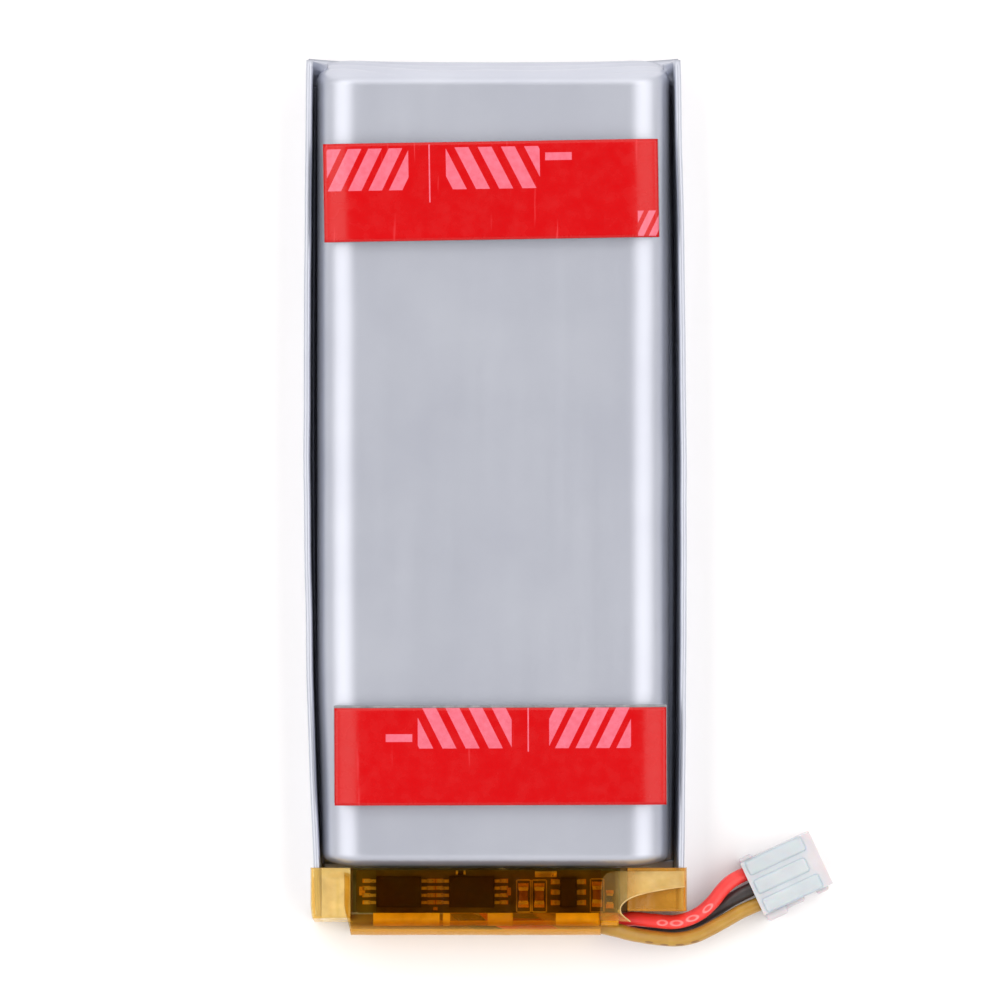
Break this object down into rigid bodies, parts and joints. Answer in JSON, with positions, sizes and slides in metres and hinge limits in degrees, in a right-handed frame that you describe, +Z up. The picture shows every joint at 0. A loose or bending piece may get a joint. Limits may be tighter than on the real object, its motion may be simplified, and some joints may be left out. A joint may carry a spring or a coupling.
{
  "type": "pouch battery cell",
  "caption": "Flat laminate pouch battery cell with a taped protection board, two foam mounting tapes under red release liners, and short leads to a small white plug.",
  "frame": {"origin": "under the middle of the cell, on the surface it lies on, without the free leads and plug", "axes": "+Z up out of the taped face, +Y along the cell towards its folded end, +X to the side where the leads leave"},
  "size_m": [0.0482, 0.0811, 0.0091],
  "materials": {
    "laminate": "satin nylon-faced aluminium laminate with soft forming lines",
    "anode_foil": "graphite on copper foil, dull",
    "cathode_foil": "dark oxide coating on aluminium foil, dull",
    "separator_film": "white porous film",
    "roll_tape": "thin green film tape",
    "aluminium_tab": "plain aluminium strip",
    "nickel": "nickel strip, lightly brushed",
    "tab_seal": "cream sealing film",
    "board_laminate": "olive solder mask over glass laminate",
    "chip_moulding": "black moulding compound with tinned leads",
    "ceramic_chip": "tan ceramic with tinned ends",
    "resistor_chip": "black glazed film with tinned ends",
    "solder": "bright solder",
    "insulator_paper": "pale green insulating paper",
    "amber_film": "clear amber polyimide tape, glossy, wrinkled",
    "black_insulation": "soft black wire insulation",
    "red_insulation": "soft red wire insulation",
    "yellow_insulation": "soft yellow wire insulation",
    "plug_plastic": "milky natural nylon",
    "tinned_contact": "tinned bronze",
    "foam": "grey acrylic foam",
    "red_liner": null
  },
  "bodies": {
    "cell": {"pouch_back_sheet": "laminate", "pouch_cup": "laminate", "anode_winding": "anode_foil", "cathode_winding": "cathode_foil", "inner_separator": "separator_film", "outer_separator": "separator_film", "roll_end_tape": "roll_tape", "positive_tab": "aluminium_tab", "negative_tab": "nickel", "positive_weld_plate": "nickel", "negative_weld_plate": "nickel", "positive_tab_film": "tab_seal", "negative_tab_film": "tab_seal", "circuit_board": "board_laminate", "left_switch_chip": "chip_moulding", "right_switch_chip": "chip_moulding", "protection_chip": "chip_moulding", "supply_capacitor": "ceramic_chip", "sense_capacitor": "ceramic_chip", "thermistor": "ceramic_chip", "supply_resistor": "resistor_chip", "gate_resistor": "resistor_chip", "black_solder_joint": "solder", "red_solder_joint": "solder", "yellow_solder_joint": "solder", "terrace_insulator": "insulator_paper", "base_tape": "amber_film", "cover_tape": "amber_film", "black_lead": "black_insulation", "red_lead": "red_insulation", "yellow_lead": "yellow_insulation", "plug_housing": "plug_plastic", "red_contact": "tinned_contact", "black_contact": "tinned_contact", "yellow_contact": "tinned_contact", "upper_foam_tape": "foam", "lower_foam_tape": "foam"},
    "upper_liner": {"upper_release_liner": "red_liner"},
    "lower_liner": {"lower_release_liner": "red_liner"}
  },
  "joints": [
    {"name": "upper_liner_peel", "type": "slide", "parent": "cell", "child": "upper_liner", "axis": [0, 0, 1], "range_m": [0, 0.012]},
    {"name": "lower_liner_peel", "type": "slide", "parent": "cell", "child": "lower_liner", "axis": [0, 0, 1], "range_m": [0, 0.012]}
  ]
}
